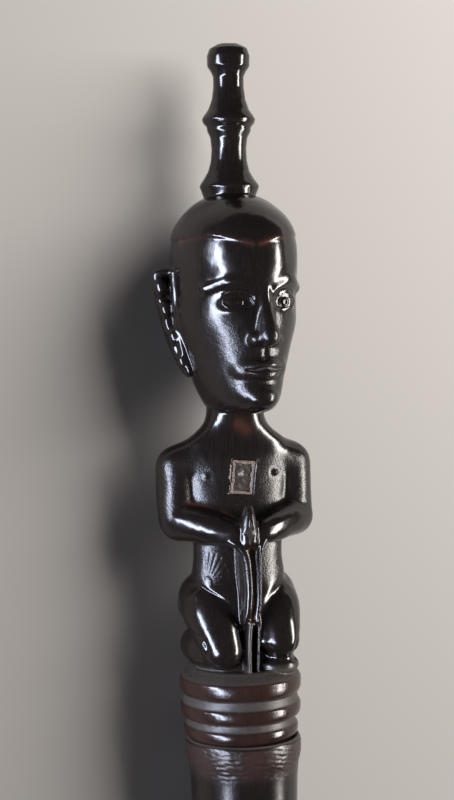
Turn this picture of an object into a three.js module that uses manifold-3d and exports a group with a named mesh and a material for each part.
// A carved hardwood staff lying on its back: a kneeling figure with a turned finial above a long round shaft.
// Millimetres. While it is modelled, X is the figure's left, Y runs along the staff towards the finial and
// Z is the figure's front. Heights along Y are counted from the seam between the figure and the shaft.
import * as THREE from 'three';
import { mergeVertices } from 'three/addons/utils/BufferGeometryUtils.js';
import Module from 'manifold-3d';

const wasm = await Module();
wasm.setup();

// Driving dimensions: lengths in millimetres, turns and leans in degrees
const STAFF_LENGTH = 1200;
const FINIAL_TOP = 256.2;
const FINIAL_LEAN = -0.7;
const FINIAL_SET_BACK = 2.5;
const FOOT_END = FINIAL_TOP - STAFF_LENGTH;
const FOOT_RADIUS = 13;
const SHAFT_RADIUS = 20;
const SHAFT_OFFSET = 0.7;
const COLLAR_RADIUS = 21.6;
const COLLAR_LIP = 1.7;
const RING_RADIUS = 22.8;
const PLINTH_TOP = 25.9;
const CROWN = 201.5;
const CHIN = 121;
const HEAD_HALF_WIDTH = 22.5;
const HEAD_FRONT = 29.3;
const HEAD_BACK = 25.7;
const HEAD_TURN = 11.5;
const NECK_RADIUS = 10.7;
const SHOULDER_HEIGHT = 101;
const ELBOW_HEIGHT = 80;
const WRIST_HEIGHT = 78;
const ARM_OFFSET = 21.8;
const ARM_RADIUS = 7.7;
const FINGERTIP_HEIGHT = 87.3;
const HIP_HEIGHT = 53;
const KNEE_HEIGHT = 33;
const JOINT_GAP = 0.3;
const SPIGOT_DEPTH = 1.6;
const CHEST_FRONT = 8;
const PLUG = { x: 0.4, height: 97, width: 9.3, length: 13, depth: 4.2, turn: -6 };
const HEAD_FLAT_DEPTH = 0.75;
const FOOT_FLAT_DEPTH = 0.35;

// The face is laid out on equal thirds, with the eyes halfway between crown and chin
const FACE = {
  brow: CHIN + 47.5,
  eye: (CROWN + CHIN) / 2,
  nose: CHIN + 25,
  mouth: CHIN + 16.7,
  eyeSpacing: 9.6,
  eyeHalfWidth: 5.6,
  noseHalfWidth: 6.2,
  mouthHalfWidth: 7.6,
};

const vector = (row) => new THREE.Vector3(row[0], row[1], row[2]);

// A geometry whose shared corners are welded becomes a solid that can be joined and cut
function solid(geometry) {
  geometry.deleteAttribute('normal');
  geometry.deleteAttribute('uv');
  const welded = mergeVertices(geometry, 1e-4);
  const corners = [];
  const index = welded.index.array;
  for (let i = 0; i < index.length; i += 3) {
    const [a, b, c] = index.slice(i, i + 3);
    if (a !== b && b !== c && c !== a) {
      corners.push(a, b, c);
    }
  }
  return new wasm.Manifold(new wasm.Mesh({
    numProp: 3,
    vertProperties: new Float32Array(welded.attributes.position.array),
    triVerts: new Uint32Array(corners),
  }));
}

function joined(solids) {
  return solids.reduce((whole, next) => whole.add(next));
}

// A turned form: the profile holds pairs of radius and height from the lower end to the upper one
function turned(profile, sides) {
  const outline = profile.map(([radius, height]) => new THREE.Vector2(radius, height));
  return new THREE.LatheGeometry(outline, sides);
}

// A form skinned over oval sections: each row gives height, half width, front depth and back depth
function skinned(rows, rings, sides) {
  const spline = (column) => new THREE.SplineCurve(rows.map((row) => new THREE.Vector2(row[0], row[column])));
  const [width, front, back] = [1, 2, 3].map(spline);
  const heights = [];
  for (let ring = 0; ring <= rings; ring += 1) {
    heights.push(width.getPoint(ring / rings).x);
  }
  const profile = [[0, heights[0]], ...heights.map((height) => [1, height]), [0, heights[rings]]];
  const geometry = turned(profile, sides);
  const place = geometry.attributes.position;
  for (let i = 0; i < place.count; i += 1) {
    const ring = THREE.MathUtils.clamp((i % profile.length) - 1, 0, rings);
    const depth = place.getZ(i) > 0 ? front : back;
    place.setX(i, place.getX(i) * width.getPoint(ring / rings).y);
    place.setZ(i, place.getZ(i) * depth.getPoint(ring / rings).y);
  }
  return geometry;
}

// A round-ended limb: each row gives x, y, z, the half thickness across and the half thickness along `facing`
function limb(rows, { sides = 10, steps = 5, caps = 2, facing = [0, 0, 1] } = {}) {
  const path = new THREE.CatmullRomCurve3(rows.map(vector));
  const thickness = new THREE.SplineCurve(rows.map((row) => new THREE.Vector2(row[3], row[4])));
  const span = 2;
  const geometry = new THREE.CapsuleGeometry(1, span, caps, sides, steps);
  const place = geometry.attributes.position;
  const front = vector(facing);
  for (let i = 0; i < place.count; i += 1) {
    const along = THREE.MathUtils.clamp(place.getY(i), -span / 2, span / 2);
    const u = (along + span / 2) / span;
    const beyond = place.getY(i) - along;
    const tangent = path.getTangent(u);
    const across = tangent.clone().cross(front).normalize();
    const deep = across.clone().cross(tangent);
    const half = thickness.getPoint(u);
    const point = path.getPoint(u);
    point.addScaledVector(across, place.getX(i) * half.x);
    point.addScaledVector(deep, place.getZ(i) * half.y);
    point.addScaledVector(tangent, beyond * Math.min(half.x, half.y));
    place.setXYZ(i, point.x, point.y, point.z);
  }
  return geometry;
}

function ball(centre, radii, { turn = 0, sides = 10, rings = 7 } = {}) {
  const geometry = new THREE.SphereGeometry(1, sides, rings);
  geometry.scale(...radii);
  geometry.rotateY(turn);
  geometry.translate(...centre);
  return geometry;
}

// The same form on the figure's right and left
function pair(make) {
  return joined([-1, 1].map((side) => solid(make(side))));
}

// The turned finial: a capped knob, a waisted stem with a collar halfway, and a flared base on the crown
function finial() {
  const profile = [
    [0, CROWN - 8], [9.2, CROWN - 8], [9.4, CROWN - 2], [10.6, 202.6], [11, 203.6], [10.6, 204.7],
    [9.2, 206.6], [7.6, 209.4], [6.7, 213.1], [6.4, 217.6], [6.9, 221.7], [8.1, 224.1], [8.1, 225.5],
    [9.3, 226.7], [9.9, 228.2], [9.4, 229.3], [7.6, 231.9], [6.2, 235.6], [5.6, 239.8], [5.6, 243.9],
    [6.7, 246.1], [7.8, 247.6], [7.9, 251.5], [7, 254.1], [4, 255.7], [0, FINIAL_TOP],
  ];
  const geometry = turned(profile, 15);
  geometry.translate(0, -CROWN, 0);
  geometry.rotateZ(THREE.MathUtils.degToRad(FINIAL_LEAN));
  geometry.translate(0, CROWN, -FINIAL_SET_BACK);
  return solid(geometry);
}

// Cranium and jaw in one skin, facing straight ahead, before the features are laid on it
function skull() {
  const rows = [
    [CHIN, 7.5, 19, 8], [CHIN + 1.8, 10.8, 23.6, 10.5], [CHIN + 6, 13.4, 26.4, 12.5],
    [CHIN + 13, 16.2, 25, 16], [CHIN + 24, 19.6, 25.6, 22], [CHIN + 33, 22, 26.4, 24.8],
    [CHIN + 44, 22.2, 26.6, 25.6], [CHIN + 54, HEAD_HALF_WIDTH, HEAD_FRONT, HEAD_BACK],
    [CHIN + 64, 21.6, 28.2, 24.6], [CHIN + 71, 18.6, 24, 21], [CHIN + 76.5, 13.2, 16.6, 14.6],
    [CHIN + 79.4, 7.4, 9, 8.2], [CROWN, 0.6, 0.6, 0.6],
  ];
  return solid(skinned(rows, 14, 24));
}

// Eye: a hollow in the face, the ball in it and two lids that meet at its corners
function eyes() {
  const { eye, eyeSpacing, eyeHalfWidth } = FACE;
  const angled = (side) => ({ turn: side * 0.36 });
  const hollow = (side) => ball([side * (eyeSpacing + 0.6), eye + 0.8, 28.2], [8.6, 6.4, 5.6], angled(side));
  const globe = (side) => ball([side * eyeSpacing, eye, 20], [6, 4.6, 4.2], angled(side));
  const lid = (lift) => (side) => limb([
    [side * (eyeSpacing - eyeHalfWidth), eye - 0.4, 23.4, 0.7, 0.8],
    [side * (eyeSpacing - 0.4), eye + lift, 24.2, 0.9, 1],
    [side * (eyeSpacing + eyeHalfWidth), eye + 0.2, 20, 0.7, 0.8],
  ], { sides: 5, steps: 4, caps: 1 });
  return { hollows: pair(hollow), forms: joined([pair(globe), pair(lid(3.9)), pair(lid(-3.1))]) };
}

function brows() {
  return pair((side) => limb([
    [side * 4, FACE.brow - 1.8, 25.6, 1.6, 2.2], [side * 10.5, FACE.brow + 1, 23.4, 1.9, 2.4],
    [side * 18, FACE.brow - 2, 15.8, 1.6, 2.2],
  ], { sides: 8, steps: 4, caps: 1 }));
}

function nose() {
  const { nose: base, brow, noseHalfWidth } = FACE;
  const ridge = limb([
    [0, brow - 1, 25.6, 2.6, 2.8], [0, brow - 10, 26.6, 3, 3.4], [0, base + 4.4, 28.8, 4.2, 4.8],
  ], { steps: 4 });
  const nostril = { sides: 8, rings: 6 };
  const wing = (side) => ball([side * (noseHalfWidth - 2.6), base + 2.8, 26.4], [2.8, 2.8, 4], nostril);
  return joined([solid(ridge), pair(wing)]);
}

// Closed lips, each a full curve that follows the front of the jaw
function lips() {
  const { mouth, mouthHalfWidth } = FACE;
  const lip = (lift, thick) => limb([
    [-mouthHalfWidth, mouth, 22.2, 0.8, 0.9], [-mouthHalfWidth / 2, mouth + lift, 24.7, thick, 1.5],
    [0, mouth + lift * 0.9, 25.3, thick, 1.8],
    [mouthHalfWidth / 2, mouth + lift, 24.7, thick, 1.5], [mouthHalfWidth, mouth, 22.2, 0.8, 0.9],
  ], { sides: 8, steps: 6, caps: 1 });
  return joined([solid(lip(1.7, 1.5)), solid(lip(-1.8, 1.7))]);
}

// Ear: a flat-topped flap that tapers to the lobe, hollowed in front inside a raised rim
function ear(side) {
  const flap = limb([
    [side * 23, 169.6, -7.4, 5, 5.4], [side * 23.2, 160, -7.6, 4.4, 5.2], [side * 20.6, 147, -4.6, 3.6, 4.4],
    [side * 18.6, 137, -0.6, 2.4, 3],
  ], { sides: 8, steps: 4 });
  const rim = limb([
    [side * 22, 173, -3, 1.3, 1.6], [side * 27.6, 172.4, -7.5, 1.5, 1.9], [side * 26.6, 161, -10, 1.5, 1.9],
    [side * 23.4, 147, -6, 1.4, 1.8], [side * 20, 137.6, -1, 1.6, 1.9],
  ], { sides: 6, steps: 5, caps: 1 });
  const hollow = ball([side * 25.4, 160, -4.2], [2.8, 9, 3.8], { sides: 8, rings: 6 });
  return solid(flap).subtract(solid(hollow)).add(solid(rim));
}

function head() {
  const { hollows, forms } = eyes();
  const face = skull().subtract(hollows);
  const whole = joined([face, brows(), forms, nose(), lips(), ear(-1), ear(1)]);
  return whole.rotate([0, HEAD_TURN, 0]);
}

// Neck, trunk and hips in one skin that reaches from inside the head down into the plinth
function trunk() {
  const rows = [
    [PLINTH_TOP - 2, 15, 12.5, 15], [36, 15.6, 12.5, 16], [45, 17.6, 13.6, 18.5],
    [HIP_HEIGHT, 18.2, 13.8, 17.5], [60, 17.6, 12.2, 15], [68, 16.7, 9.8, 13.6], [77, 17.6, 8.6, 14.5],
    [88, 18.6, 8.2, 17], [98, 19.2, 8.6, 18], [106, 20.4, 8.4, 16.5], [111, 18.4, 8, 14],
    [114, 13.6, 8.6, 12.4], [118, NECK_RADIUS, NECK_RADIUS - 1, NECK_RADIUS + 1],
    [130, NECK_RADIUS, NECK_RADIUS - 1, NECK_RADIUS + 1],
  ];
  const yoke = limb([
    [-ARM_OFFSET, SHOULDER_HEIGHT, -4, 8, 8], [-12, 103.8, -3.6, 7.8, 8], [0, 105, -3, 8, 8.6],
    [12, 103.8, -3.6, 7.8, 8], [ARM_OFFSET, SHOULDER_HEIGHT, -4, 8, 8],
  ], { steps: 6 });
  return joined([solid(skinned(rows, 14, 20)), solid(yoke)]);
}

function arms() {
  const upper = (side) => limb([
    [side * ARM_OFFSET, SHOULDER_HEIGHT - 1, -4, ARM_RADIUS + 0.2, ARM_RADIUS + 0.4],
    [side * (ARM_OFFSET + 0.2), 91, -4.2, ARM_RADIUS, ARM_RADIUS + 0.1],
    [side * (ARM_OFFSET + 0.2), ELBOW_HEIGHT + 1.6, -2.4, ARM_RADIUS - 0.2, ARM_RADIUS - 0.1],
  ], { steps: 3 });
  const fore = (side) => limb([
    [side * ARM_OFFSET, ELBOW_HEIGHT + 0.4, -1.4, ARM_RADIUS - 0.5, ARM_RADIUS - 0.3],
    [side * 18.5, ELBOW_HEIGHT - 0.4, 7, ARM_RADIUS - 0.7, ARM_RADIUS - 0.7],
    [side * 12, WRIST_HEIGHT + 0.6, 12.6, 6.2, 6],
    [side * 4.6, WRIST_HEIGHT, 15.4, 5.4, 5],
  ], { steps: 4, facing: [0, 1, 0] });
  return joined([pair(upper), pair(fore)]);
}

// Hands pressed palm to palm, fingertips towards the chin
function hands() {
  return pair((side) => limb([
    [side * 3, WRIST_HEIGHT - 1.4, 17.4, 2.4, 3.4], [side * 2.3, WRIST_HEIGHT + 4, 18.4, 2, 3],
    [side * 1.5, FINGERTIP_HEIGHT - 1.6, 17.8, 1.4, 2.2],
  ], { sides: 8, steps: 4 }));
}

// A long slender form held between the hands, hollowed along its top, with a thin keel below it
function rib() {
  const body = limb([
    [0.1, WRIST_HEIGHT - 2, 14, 4, 7.2], [0.7, 66, 14.2, 3.6, 7.2], [1.3, 55, 15, 3.5, 7],
    [1, 47, 15.4, 4.2, 5.8],
  ]);
  const hollow = limb([
    [0.1, WRIST_HEIGHT - 3, 22, 1.3, 1.6], [0.8, 66, 22, 1.5, 1.7], [1.4, 55, 22.6, 1.8, 1.9],
    [1.2, 45, 21.6, 2, 1.9],
  ], { sides: 6 });
  const keel = limb([
    [0.8, 46, 15.4, 1.2, 4.4], [0.4, PLINTH_TOP + 1, 14.6, 1, 4],
  ], { sides: 6, steps: 1 });
  return joined([solid(body).subtract(solid(hollow)), solid(keel)]);
}

function legs() {
  const thigh = (side) => limb([
    [side * 13.2, HIP_HEIGHT - 1.6, -5, 9.8, 9.8], [side * 12.8, 47, 3.4, 10.2, 9.6],
    [side * 12.2, KNEE_HEIGHT + 8, 10.4, 8.4, 8.2], [side * 11.7, KNEE_HEIGHT + 2.4, 13.8, 7.6, 7.6],
  ], { steps: 4 });
  const shin = (side) => limb([
    [side * 12, KNEE_HEIGHT + 0.6, 13.4, 7.4, 7.4], [side * 15.2, KNEE_HEIGHT + 0.6, 6, 6.8, 7],
    [side * 16, KNEE_HEIGHT + 0.6, -5, 6.2, 6.8],
  ], { steps: 4, facing: [0, 1, 0] });
  const foot = (side) => limb([
    [side * 15, KNEE_HEIGHT + 0.6, -8, 5.4, 6], [side * 9, KNEE_HEIGHT - 0.6, -14, 5, 6],
  ], { sides: 8, steps: 2, facing: [0, 1, 0] });
  const buttock = (side) => ball([side * 9, HIP_HEIGHT - 6, -10], [10.6, 11, 10.4]);
  return joined([pair(thigh), pair(shin), pair(foot), pair(buttock)]);
}

// The plinth's edge is the first of three rings, each with a sloping upper face, a round edge and an
// undercut, over a short foot that sits inside the collar of the shaft
function plinthAndRings() {
  const ring = (low, high, radius, groove) => [
    [groove, low], [radius - 0.8, low + 0.9], [radius, low + (high - low) * 0.38],
    [radius - 0.3, low + (high - low) * 0.6], [radius - 1.2, low + (high - low) * 0.76],
  ];
  const spigot = COLLAR_RADIUS - COLLAR_LIP - SHAFT_OFFSET - JOINT_GAP;
  const profile = [
    [0, -SPIGOT_DEPTH], [spigot, -SPIGOT_DEPTH], [spigot, 0],
    ...ring(0, 6.8, 21.4, 20.4),
    ...ring(6.8, 15.6, 22.5, 20.6),
    ...ring(15.6, PLINTH_TOP + 0.4, RING_RADIUS, 21),
    [20.4, PLINTH_TOP], [0, PLINTH_TOP],
  ];
  return solid(turned(profile, 26));
}

// A block as wide and as long as the recess in the chest, less a gap all round, between two depths
function chestBlock(gap, low, high) {
  const geometry = new THREE.BoxGeometry(PLUG.width - 2 * gap, PLUG.length - 2 * gap, high - low);
  geometry.rotateZ(THREE.MathUtils.degToRad(PLUG.turn));
  geometry.translate(PLUG.x, PLUG.height, (low + high) / 2);
  return solid(geometry);
}

// The filling: a dished face just below the chest's surface, with a lump of paler matter in it
function chestPlug() {
  const core = chestBlock(JOINT_GAP, CHEST_FRONT - PLUG.depth + JOINT_GAP, CHEST_FRONT - 0.2);
  const dish = ball([PLUG.x, PLUG.height, CHEST_FRONT + 2.6], [4.6, 7, 3.6]);
  const lump = ball([PLUG.x - 0.8, PLUG.height + 1.4, CHEST_FRONT - 1.2], [1.9, 2, 1]);
  return core.subtract(solid(dish)).add(solid(lump));
}

// The shaft: a lipped collar round the figure's foot, then a long slow taper to a flat foot
function shaft() {
  const seat = COLLAR_RADIUS - COLLAR_LIP;
  const floor = -SPIGOT_DEPTH - JOINT_GAP;
  const profile = [
    [0, FOOT_END], [FOOT_RADIUS - 1.4, FOOT_END], [FOOT_RADIUS - 0.4, FOOT_END + 0.6],
    [FOOT_RADIUS, FOOT_END + 2], [18.6, -120], [SHAFT_RADIUS - 0.4, -40], [SHAFT_RADIUS, -21],
    [SHAFT_RADIUS + 0.5, -12], [COLLAR_RADIUS - 0.4, -8.6], [COLLAR_RADIUS, -5.4], [COLLAR_RADIUS, -2],
    [COLLAR_RADIUS - 0.7, -0.6], [seat, -0.6], [seat, floor], [0, floor],
  ];
  const geometry = turned(profile, 26);
  geometry.translate(SHAFT_OFFSET, 0, 0);
  return solid(geometry);
}

// Where the staff rests on its back: a plane that just cuts the back of the head and the underside
// of the foot
const REST_HEAD = { height: 171, depth: HEAD_BACK - HEAD_FLAT_DEPTH };
const REST_FOOT = { height: FOOT_END, depth: FOOT_RADIUS - FOOT_FLAT_DEPTH };
const REST_TILT = Math.atan2(REST_HEAD.depth - REST_FOOT.depth, REST_HEAD.height - REST_FOOT.height);

function restedFlat(whole) {
  const thickness = 40;
  const block = new THREE.BoxGeometry(STAFF_LENGTH, 3 * STAFF_LENGTH, thickness);
  block.translate(0, 0, -thickness / 2);
  block.rotateX(-REST_TILT);
  block.translate(0, REST_FOOT.height, -REST_FOOT.depth);
  return whole.subtract(solid(block));
}

function carvedFigure() {
  const figure = joined([plinthAndRings(), trunk(), legs(), arms(), hands(), rib(), head(), finial()]);
  return figure.subtract(chestBlock(0, CHEST_FRONT - PLUG.depth, CHEST_FRONT + PLUG.depth));
}

const polishedWood = () => new THREE.MeshStandardMaterial({ color: 0x1b1715, roughness: 0.28, metalness: 0 });
const darkResin = () => new THREE.MeshStandardMaterial({ color: 0x4a3d36, roughness: 0.5, metalness: 0 });

function namedMesh(name, shape, material) {
  const { vertProperties, triVerts } = shape.getMesh();
  const geometry = new THREE.BufferGeometry();
  geometry.setAttribute('position', new THREE.BufferAttribute(vertProperties, 3));
  geometry.setIndex(new THREE.BufferAttribute(triVerts, 1));
  geometry.computeVertexNormals();
  const mesh = new THREE.Mesh(geometry, material);
  mesh.name = name;
  return mesh;
}

const staff = new THREE.Group();
staff.add(namedMesh('carved_figure', restedFlat(carvedFigure()), polishedWood()));
staff.add(namedMesh('shaft', restedFlat(shaft()), polishedWood()));
staff.add(namedMesh('chest_plug', chestPlug(), darkResin()));
staff.rotation.x = REST_TILT;

// The origin is on the surface that the staff lies on, under the middle of its length and width
const part = new THREE.Group();
part.add(staff);
part.updateMatrixWorld(true);
const box = new THREE.Box3().setFromObject(part, true);
const middle = box.getCenter(new THREE.Vector3());
staff.position.set(-middle.x, -middle.y, -box.min.z);

export default part;
